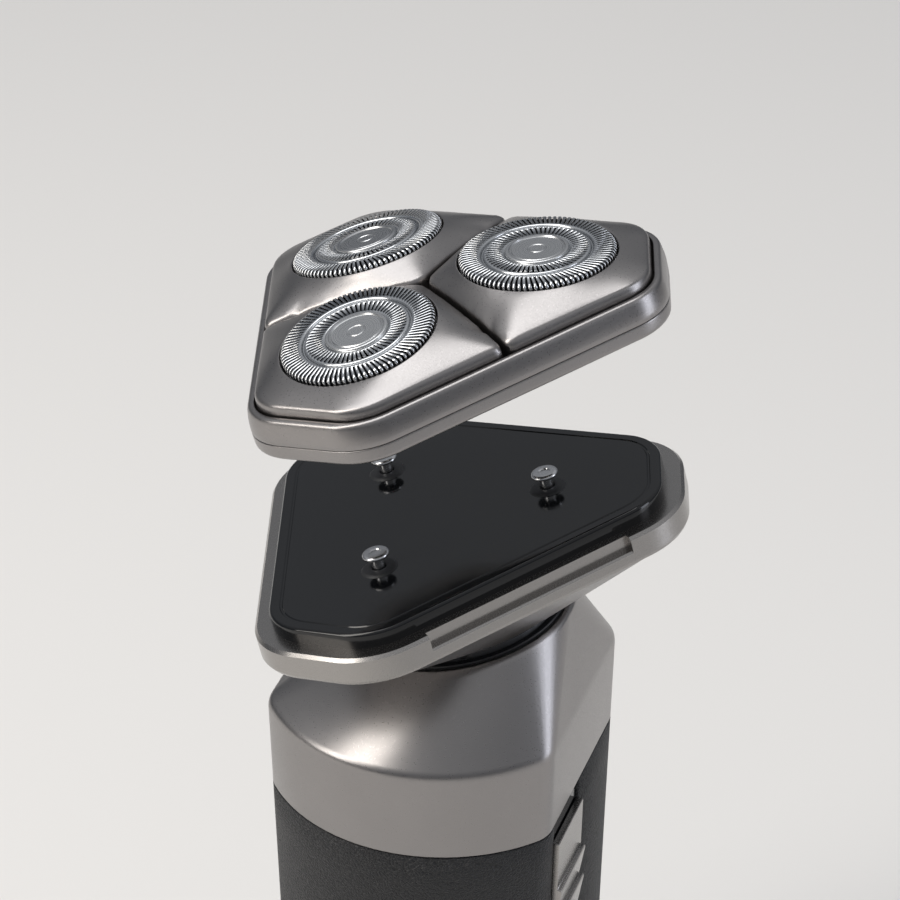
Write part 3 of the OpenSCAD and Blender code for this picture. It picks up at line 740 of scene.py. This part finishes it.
def make_head_shell():
    """The head's side wall with its round shoulder, and the dark spider under the pads."""
    s = sizes()
    outline = hex_outline(s.head_long, s.head_short, s.head_corner)
    wall = [(1.4, 2.53), (0.08, 2.53), (0.0, 2.65), (0.0, 4.2), (0.35, 6.1), (0.7, 6.5), (1.45, 6.5),
            (1.45, 5.2)]
    columns = swept(outline, wall, {1: 0.05, 3: 1.0, 4: 0.5, 5: 0.3, 6: 0.15})
    verts, faces = grid(columns, closed_line=True)
    finish_piece("head_side_wall", verts, faces, finish("titanium"), HEAD, "head",
                 ["head_frame"], 50)
    verts, faces = [], []

    def block(low, high, degrees):
        base = len(verts)
        for x in (low[0], high[0]):
            for y in (low[1], high[1]):
                for z in (low[2], high[2]):
                    spot = Vector((x, y))
                    spot.rotate(Matrix.Rotation(math.radians(degrees), 2))
                    verts.append(Vector((spot.x, spot.y, z)))
        for face in ((0, 1, 3, 2), (4, 6, 7, 5), (0, 4, 5, 1), (2, 3, 7, 6), (0, 2, 6, 4), (1, 5, 7, 3)):
            faces.append(tuple(base + n for n in face))

    for k in range(3):
        block((0, -1.2, 2.6), (s.head_long - 1.6, 1.2, 4.0), -30 + 120 * k)
        for side in (-1, 1):
            block((2.0, side * 2.35 - 0.65, 2.6), (3.6, side * 2.35 + 0.65, 6.4), -90 + 120 * k)
    spider = finish_piece("pad_spider", verts, faces, finish("satin"), HEAD, "head",
                          ["head_frame"], 30)
    add_modifier(spider, "BEVEL", width=0.15 * MM, segments=2, limit_method="ANGLE")
    skirt = [(4.0, 0.0), (0.6, 0.0), (0.1, 0.5), (0.0, 2.35), (0.08, 2.46), (4.0, 2.46)]
    columns = swept(outline, skirt, {1: 0.35, 2: 0.4, 3: 0.15, 4: 0.1})
    verts, faces = grid(columns, closed_line=True)
    finish_piece("head_skirt", verts, faces, finish("titanium"), HEAD, "head",
                 ["head_base"], 50)


# ---------------------------------------------------------------- tray

def make_tray_rim():
    """The light rim, with the long finger notch cut into one edge."""
    s = sizes()
    top = s.deck_z - s.deck_step
    foot = top - s.rim_h
    notch_half, notch_deep, notch_low = 17.5, 1.3, top - 2.3
    below = [(3.2, foot - 0.2), (0.35, foot - 0.2), (0.0, foot + 0.4), (0.0, notch_low - 0.28)]
    plain = below + [(0.0, notch_low - 0.1), (0.0, notch_low), (0.0, top - 0.5), (0.45, top),
                     (3.2, top)]
    notch = below + [(0.28, notch_low), (notch_deep, notch_low), (notch_deep, top - 0.02),
                     (notch_deep + 0.1, top), (3.2, top)]
    outline = hex_outline(s.rim_long, s.rim_short, s.head_corner + 3.3)
    # the direction that the notched edge faces, in the neck's frame
    facing = -150.0
    columns = []

    def column(point, angle, profile):
        columns.append([Vector((*(point - polar(inset, angle)), z)) for inset, z in profile])

    for i, (point, angle) in enumerate(outline):
        column(point, angle, plain)
        follows = outline[(i + 1) % len(outline)]
        turn = (angle - facing) % 360
        if min(turn, 360 - turn) < 0.1 and (follows[0] - point).length > 2 * notch_half:
            middle = polar(s.rim_long, facing)
            along = (follows[0] - point).normalized()
            for shift, profile in ((-notch_half, plain), (-notch_half, notch),
                                   (notch_half, notch), (notch_half, plain)):
                column(middle + along * shift, angle, profile)
    verts, faces = grid(columns, closed_line=True)
    rim = finish_piece("light_rim", verts, faces, finish("silver"), NECK, "tray",
                       ["tray_rim"], 28)
    add_modifier(rim, "BEVEL", width=0.12 * MM, segments=2, limit_method="ANGLE",
                 angle_limit=math.radians(50))


def make_tray_cup():
    """The underside: a smooth skin from the round neck out to the rim."""
    s = sizes()
    foot = s.deck_z - s.deck_step - s.rim_h
    wide = hex_outline(s.rim_long - 0.5, s.rim_short - 0.5, s.head_corner + 2.8)
    columns = []
    for point, angle in wide:
        lip = polar(s.mouth_r - 0.7, angle)
        hidden = polar(s.mouth_r - 2.0, angle)
        line = [Vector((hidden.x, hidden.y, 2.2)), Vector((hidden.x, hidden.y, 1.05)),
                Vector((lip.x, lip.y, 1.05)), Vector((*(point - polar(0.2, angle)), foot - 0.25)),
                Vector((*(point - polar(2.5, angle)), foot - 0.1))]
        columns.append(soften(line, {1: 0.3, 2: 0.5, 3: 0.4}))
    verts, faces = grid(columns)
    finish_piece("tray_underside", verts, faces, finish("titanium"), NECK, "tray",
                 ["tray_cup"], 40)


def make_deck():
    """The gloss black deck, with a fine step near its edge and collars round the studs."""
    s = sizes()
    long, short = s.rim_long - 2.8, s.rim_short - 3.0
    outline = hex_outline(long, short, s.head_corner + 0.5)
    low, top = s.deck_z - s.deck_step, s.deck_z
    profile = [(0.0, low - 0.1), (0.0, top - 0.35), (0.35, top), (1.7, top), (1.85, top - 0.14),
               (2.1, top - 0.14), (2.25, top), (4.5, top), (6.0, top)]
    columns = swept(outline, profile, {1: 0.2, 2: 0.2})
    verts, faces = grid(columns, caps=(False, True))
    finish_piece("gloss_deck", verts, faces, finish("gloss"), NECK, "tray",
                 ["deck_plate"], 30)
    for k in CUTTERS:
        seal = turned([(1.15, 0.0), (1.15, 0.32), (1.5, 0.42), (2.5, 0.32), (2.9, 0.0)],
                      {1: 0.1, 2: 0.2, 3: 0.2}, 48)
        verts, faces = grid(seal)
        finish_piece(f"stud_seal_{k}", verts, faces, finish("satin"),
                     spindle_place(k), "tray", [], 40)


def make_stud(k):
    """A drive stud: a thin stem with a round driving head."""
    profile = [(0.01, 2.75), (0.8, 2.75), (0.95, 2.95), (1.8, 2.95), (2.12, 2.7), (2.12, 2.35),
               (1.9, 2.2), (1.0, 2.1), (1.0, -8.6), (0.01, -8.8)]
    columns = turned(profile, {3: 0.15, 4: 0.2, 5: 0.15, 6: 0.1}, 48)
    verts, faces = grid(columns, caps=(True, True))
    finish_piece(f"drive_stud_{k}", verts, faces, finish("steel"), spindle_place(k),
                 f"spindle_{k}", [f"spindle_{k}"], 35)


# ---------------------------------------------------------------- handle

def make_collar():
    """The collar: a straight band, a crisp soft-edged crease, and a cone up to the slanted mouth."""
    s = sizes()
    crease = s.collar_z + s.band_h
    low = grip_outline(s.collar_z)
    inner = grip_outline(s.collar_z, 2.0)
    high = grip_outline(crease)
    to_neck = NECK.inverted().to_3x3()

    def mouth(angle, radius, z):
        way = to_neck @ Vector((*polar(1, angle), 0))
        spot = way.xy.normalized() * radius
        return NECK @ (Vector((spot.x, spot.y, z)) * MM) / MM

    columns = []
    for (edge, angle), (hidden, _), (top, _) in zip(low, inner, high):
        line = [Vector((hidden.x, hidden.y, s.collar_z + 0.3)),
                Vector((hidden.x, hidden.y, s.collar_z + 0.02)),
                Vector((edge.x, edge.y, s.collar_z + 0.02)),
                Vector((top.x, top.y, crease)),
                mouth(angle, s.mouth_r, -1.7),
                mouth(angle, s.mouth_r - 0.7, -1.2),
                mouth(angle, s.mouth_r - 1.4, -1.25),
                mouth(angle, s.mouth_r - 1.4, -5.0)]
        columns.append(soften(line, {1: 0.1, 2: 0.25, 3: 1.1, 4: 0.8, 5: 0.3, 6: 0.2}, 5))
    verts, faces = grid(columns)
    finish_piece("metal_collar", verts, faces, finish("titanium"), HANDLE, "handle",
                 ["collar"], 40)


def make_leather():
    """The leather wrap: a thin skin round the handle, open where the strip lies."""
    s = sizes()
    foot, strip_foot = 7.1, s.collar_z - 78.0
    heights = [foot, foot + 0.25, strip_foot * 0.6, strip_foot]
    heights += [strip_foot + (s.collar_z - 0.3 - strip_foot) * i / 12 for i in range(1, 13)]
    heights.append(s.collar_z - 0.08)
    outlines = []
    for n, z in enumerate(heights):
        edge = n in (0, len(heights) - 1)
        outlines.append(grip_outline(z, 0.22 if edge else 0.0))
    columns = [[Vector((*ring[i][0], z)) for ring, z in zip(outlines, heights)]
               for i in range(len(outlines[0]))]
    verts, faces = grid(columns, skip=lambda i, j: i == 0 and j >= 3)
    wrap = finish_piece("leather_grip", verts, faces, finish("leather"), HANDLE, "handle",
                        ["leather_wrap"], 50)
    add_modifier(wrap, "SOLIDIFY", thickness=s.wrap_t * MM, offset=-1.0)


def front_place():
    """On the handle's flat face at the collar's edge, Z up the tapered face, -Y outward."""
    s = sizes()
    return Matrix.Translation(Vector((-s.strip_x, -s.body_y, s.collar_z)) * MM) @ Matrix.Rotation(
        s.taper, 4, "X")


def make_switch():
    """The slide switch: a plain upper face and stepped ridges below for the thumb."""
    s = sizes()
    half = s.strip_w / 2 - 0.2
    # the plain face above the ridges, and how far the switch's top is below the collar
    length, plain_part_h, steps, below_collar = 27.0, 9.0, 3, 3.6
    step = (length - plain_part_h) / steps
    profile = [(-0.9, 0.0), (-0.9, -plain_part_h)]
    for i in range(steps):
        z = -plain_part_h - i * step
        profile += [(-1.5, z - 0.02), (-1.68, z - 0.35), (-0.85, z - step + 0.02)]
    profile += [(0.3, -length), (0.3, 0.0)]
    columns = []
    for x in (-half, half):
        columns.append([Vector((x, y, z)) for y, z in profile])
    verts, faces = grid(columns, closed_line=True, wrap=False)
    count = len(profile)
    faces.append(tuple(range(count)))
    faces.append(tuple(reversed(range(count, 2 * count))))
    place = front_place() @ Matrix.Translation(Vector((0, 0, -below_collar)) * MM)
    switch = finish_piece("stepped_switch", verts, faces, finish("silver"), place, "switch",
                          ["switch_slider"], 20)
    add_modifier(switch, "BEVEL", width=0.14 * MM, segments=3, limit_method="ANGLE",
                 angle_limit=math.radians(20))


# ---------------------------------------------------------------- stage

def camera_place():
    """The camera's directions: right, up and back."""
    azimuth, elevation = math.radians(-71.0), math.radians(33.0)
    back = Vector((math.sin(azimuth) * math.cos(elevation),
                   -math.cos(azimuth) * math.cos(elevation), math.sin(elevation)))
    right = Vector((math.cos(azimuth), math.sin(azimuth), 0))
    return right, back.cross(right), back


def add_light(name, spot, target, width, height, watts, tone):
    data = bpy.data.lights.new(name, "AREA")
    data.shape = "RECTANGLE"
    data.size, data.size_y = width, height
    data.energy = watts
    data.color = linear(tone)[:3]
    lamp = bpy.data.objects.new(name, data)
    bpy.context.scene.collection.objects.link(lamp)
    lamp.location = spot
    lamp.rotation_mode = "QUATERNION"
    lamp.rotation_quaternion = (Vector(target) - Vector(spot)).to_track_quat("-Z", "Y")


def make_stage():
    """The camera, the floor, the world's light and three soft lamps."""
    scene = bpy.context.scene
    scene.view_settings.view_transform = "Standard"
    right, up, back = camera_place()
    middle = sum((joint_spot(f"cutter_{k}_spin") for k in CUTTERS), Vector()) / 3
    data = bpy.data.cameras.new("camera")
    data.lens, data.sensor_width = 160.0, 36.0
    data.clip_start, data.clip_end = 0.05, 20.0
    camera = bpy.data.objects.new("camera", data)
    scene.collection.objects.link(camera)
    # from the middle of the cutters' faces, in millimetres
    aside, below, away = 4.5, 26.2, 592.0
    spot = middle + (right * aside - up * below + back * away) * MM
    camera.matrix_world = Matrix.Translation(spot) @ Matrix((right, up, back)).transposed().to_4x4()
    scene.camera = camera

    floor_mesh = bpy.data.meshes.new("floor")
    floor_mesh.from_pydata([(-4, -4, 0), (4, -4, 0), (4, 4, 0), (-4, 4, 0)], [], [(0, 1, 2, 3)])
    floor = bpy.data.objects.new("floor", floor_mesh)
    scene.collection.objects.link(floor)
    matt = new_material("pale matt floor", Roughness=0.85, Base_Color=tint("floor"))[0]
    floor_mesh.materials.append(matt)

    world = bpy.data.worlds.new("studio")
    scene.world = world
    world.use_nodes = True
    tree = world.node_tree
    background = tree.nodes["Background"]
    # a pale dome, softly darker low down, as in a studio with lights overhead
    coords = add(tree, "ShaderNodeTexCoord")
    height = add(tree, "ShaderNodeSeparateXYZ", {0: coords.outputs["Generated"]}).outputs["Z"]
    fade = add(tree, "ShaderNodeMapRange",
               {"Value": height, "From Min": -0.1, "From Max": 0.8, "To Min": 0.0, "To Max": 1.0},
               interpolation_type="SMOOTHSTEP").outputs[0]
    dome = add(tree, "ShaderNodeMix",
               {"Factor": fade, 6: linear("#6f747c"), 7: linear("#e4e6ea")}, data_type="RGBA")
    tree.links.new(dome.outputs[2], background.inputs["Color"])
    background.inputs["Strength"].default_value = 0.6

    centre = Vector((0.0, 0.0, 0.12))
    add_light("key", centre + right * -0.6 + up * 0.3 + back * 0.5, centre, 0.3, 0.9, 5.0, "#fffaf3")
    add_light("fill", centre + right * 0.8 + up * 0.05 + back * 0.2, centre, 0.25, 0.9, 2.2, "#eef3ff")
    add_light("top", centre + Vector((0.1, 0.15, 0.8)), centre, 0.6, 0.6, 3.2, "#ffffff")


# ---------------------------------------------------------------- operators

class SHAVER_OT_cutters(bpy.types.Operator):
    """Makes the three slotted cutters and their centre discs"""

    bl_idname = "shaver.cutters"
    bl_label = "Cutters"

    def execute(self, context):
        for k in CUTTERS:
            make_outer_cutter(k)
            make_cutter_cap(k)
        return {"FINISHED"}


class SHAVER_OT_pads(bpy.types.Operator):
    """Makes the three domed pads"""

    bl_idname = "shaver.pads"
    bl_label = "Pads"

    def execute(self, context):
        for k in CUTTERS:
            make_pad(k)
        return {"FINISHED"}


class SHAVER_OT_head_shell(bpy.types.Operator):
    """Makes the head's side wall, skirt and spider"""

    bl_idname = "shaver.head_shell"
    bl_label = "Head shell"

    def execute(self, context):
        make_head_shell()
        return {"FINISHED"}


class SHAVER_OT_head_works(bpy.types.Operator):
    """Finishes the parts under and inside the head"""

    bl_idname = "shaver.head_works"
    bl_label = "Head works"

    def execute(self, context):
        dress("retaining_frame", "satin", 0.15)
        dress("lock_knob", "knob", 0.12)
        for node in ("head_magnets", "pad_pins", "pad_springs"):
            dress(node, "steel", 0.05)
        for k in CUTTERS:
            # the inner cutters take steel painted dark, as painted shade seen through the slots
            dress(f"inner_cutter_{k}", "steel_painted_dark")
            dress(f"cutter_coupler_{k}", "acetal", 0.12)
        return {"FINISHED"}


class SHAVER_OT_tray(bpy.types.Operator):
    """Makes the tray's rim, underside, deck and drive studs"""

    bl_idname = "shaver.tray"
    bl_label = "Tray"

    def execute(self, context):
        make_tray_rim()
        make_tray_cup()
        make_deck()
        for k in CUTTERS:
            make_stud(k)
        return {"FINISHED"}


class SHAVER_OT_tray_works(bpy.types.Operator):
    """Finishes the gears and fixings inside the tray and the neck"""

    bl_idname = "shaver.tray_works"
    bl_label = "Tray and neck works"

    def execute(self, context):
        dress("tray_hub", "satin")
        dress("neck_ring", "satin", 0.12)
        dress("swivel_ring", "satin", 0.15)
        dress("swivel_pins", "satin")
        for node in ("gimbal_ring", "gimbal_pins", "tray_magnets", "tray_screws", "pinion_shaft"):
            dress(node, "steel")
        for node in ("drive_cup", "drive_pinion", "drive_gear_1", "drive_gear_2", "drive_gear_3"):
            dress(node, "acetal")
        return {"FINISHED"}


class SHAVER_OT_collar(bpy.types.Operator):
    """Makes the metal collar"""

    bl_idname = "shaver.collar"
    bl_label = "Collar"

    def execute(self, context):
        make_collar()
        return {"FINISHED"}


class SHAVER_OT_grip(bpy.types.Operator):
    """Makes the leather grip and the shell under it"""

    bl_idname = "shaver.grip"
    bl_label = "Leather grip"

    def execute(self, context):
        make_leather()
        dress("handle_shell", "satin")
        return {"FINISHED"}


class SHAVER_OT_front(bpy.types.Operator):
    """Makes the front strip, its charge light and the slide switch"""

    bl_idname = "shaver.front"
    bl_label = "Front strip and switch"

    def execute(self, context):
        dress("front_strip", "gloss", 0.1)
        dress("indicator_lens", "lens", 0.08)
        make_switch()
        return {"FINISHED"}


class SHAVER_OT_base(bpy.types.Operator):
    """Finishes the base cap, its screws, the foot and the charging socket"""

    bl_idname = "shaver.base"
    bl_label = "Base"

    def execute(self, context):
        dress("base_cap", "titanium")
        dress("foot_pad", "rubber", 0.15)
        dress("base_screws", "steel", 0.05)
        dress("usb_socket", "steel", 0.05)
        return {"FINISHED"}


class SHAVER_OT_inside(bpy.types.Operator):
    """Finishes the battery, board, motor and chassis"""

    bl_idname = "shaver.inside"
    bl_label = "Inside"

    def execute(self, context):
        dress("battery", "sleeve", 0.4)
        dress("circuit_board", "board")
        dress("chassis", "satin")
        dress("motor_can", "steel", 0.2)
        dress("motor_rotor", "copper", 0.1)
        return {"FINISHED"}


class SHAVER_OT_stage(bpy.types.Operator):
    """Sets the camera, floor and studio light"""

    bl_idname = "shaver.stage"
    bl_label = "Stage"

    def execute(self, context):
        make_stage()
        return {"FINISHED"}


STEPS = (SHAVER_OT_cutters, SHAVER_OT_pads, SHAVER_OT_head_shell, SHAVER_OT_head_works,
         SHAVER_OT_tray, SHAVER_OT_tray_works, SHAVER_OT_collar, SHAVER_OT_grip,
         SHAVER_OT_front, SHAVER_OT_base, SHAVER_OT_inside, SHAVER_OT_stage)


class SHAVER_PT_panel(bpy.types.Panel):
    """Lists the shaver's operators, sizes and colours"""

    bl_label = "Rotary shaver"
    bl_idname = "SHAVER_PT_panel"
    bl_space_type = "VIEW_3D"
    bl_region_type = "UI"
    bl_category = "Shaver"

    def draw(self, context):
        for step in STEPS:
            self.layout.operator(step.bl_idname)
        for group in (context.scene.shaver_sizes, context.scene.shaver_colours):
            box = self.layout.box()
            for name in group.__annotations__:
                box.prop(group, name)


CLASSES = (ShaverSizes, ShaverColours, *STEPS, SHAVER_PT_panel)


def register():
    for item in CLASSES:
        bpy.utils.register_class(item)
    bpy.types.Scene.shaver_sizes = PointerProperty(type=ShaverSizes)
    bpy.types.Scene.shaver_colours = PointerProperty(type=ShaverColours)


def unregister():
    del bpy.types.Scene.shaver_colours
    del bpy.types.Scene.shaver_sizes
    for item in reversed(CLASSES):
        bpy.utils.unregister_class(item)


def main():
    register()
    for step in STEPS:
        area, name = step.bl_idname.split(".")
        getattr(getattr(bpy.ops, area), name)()


if __name__ == "__main__":
    main()
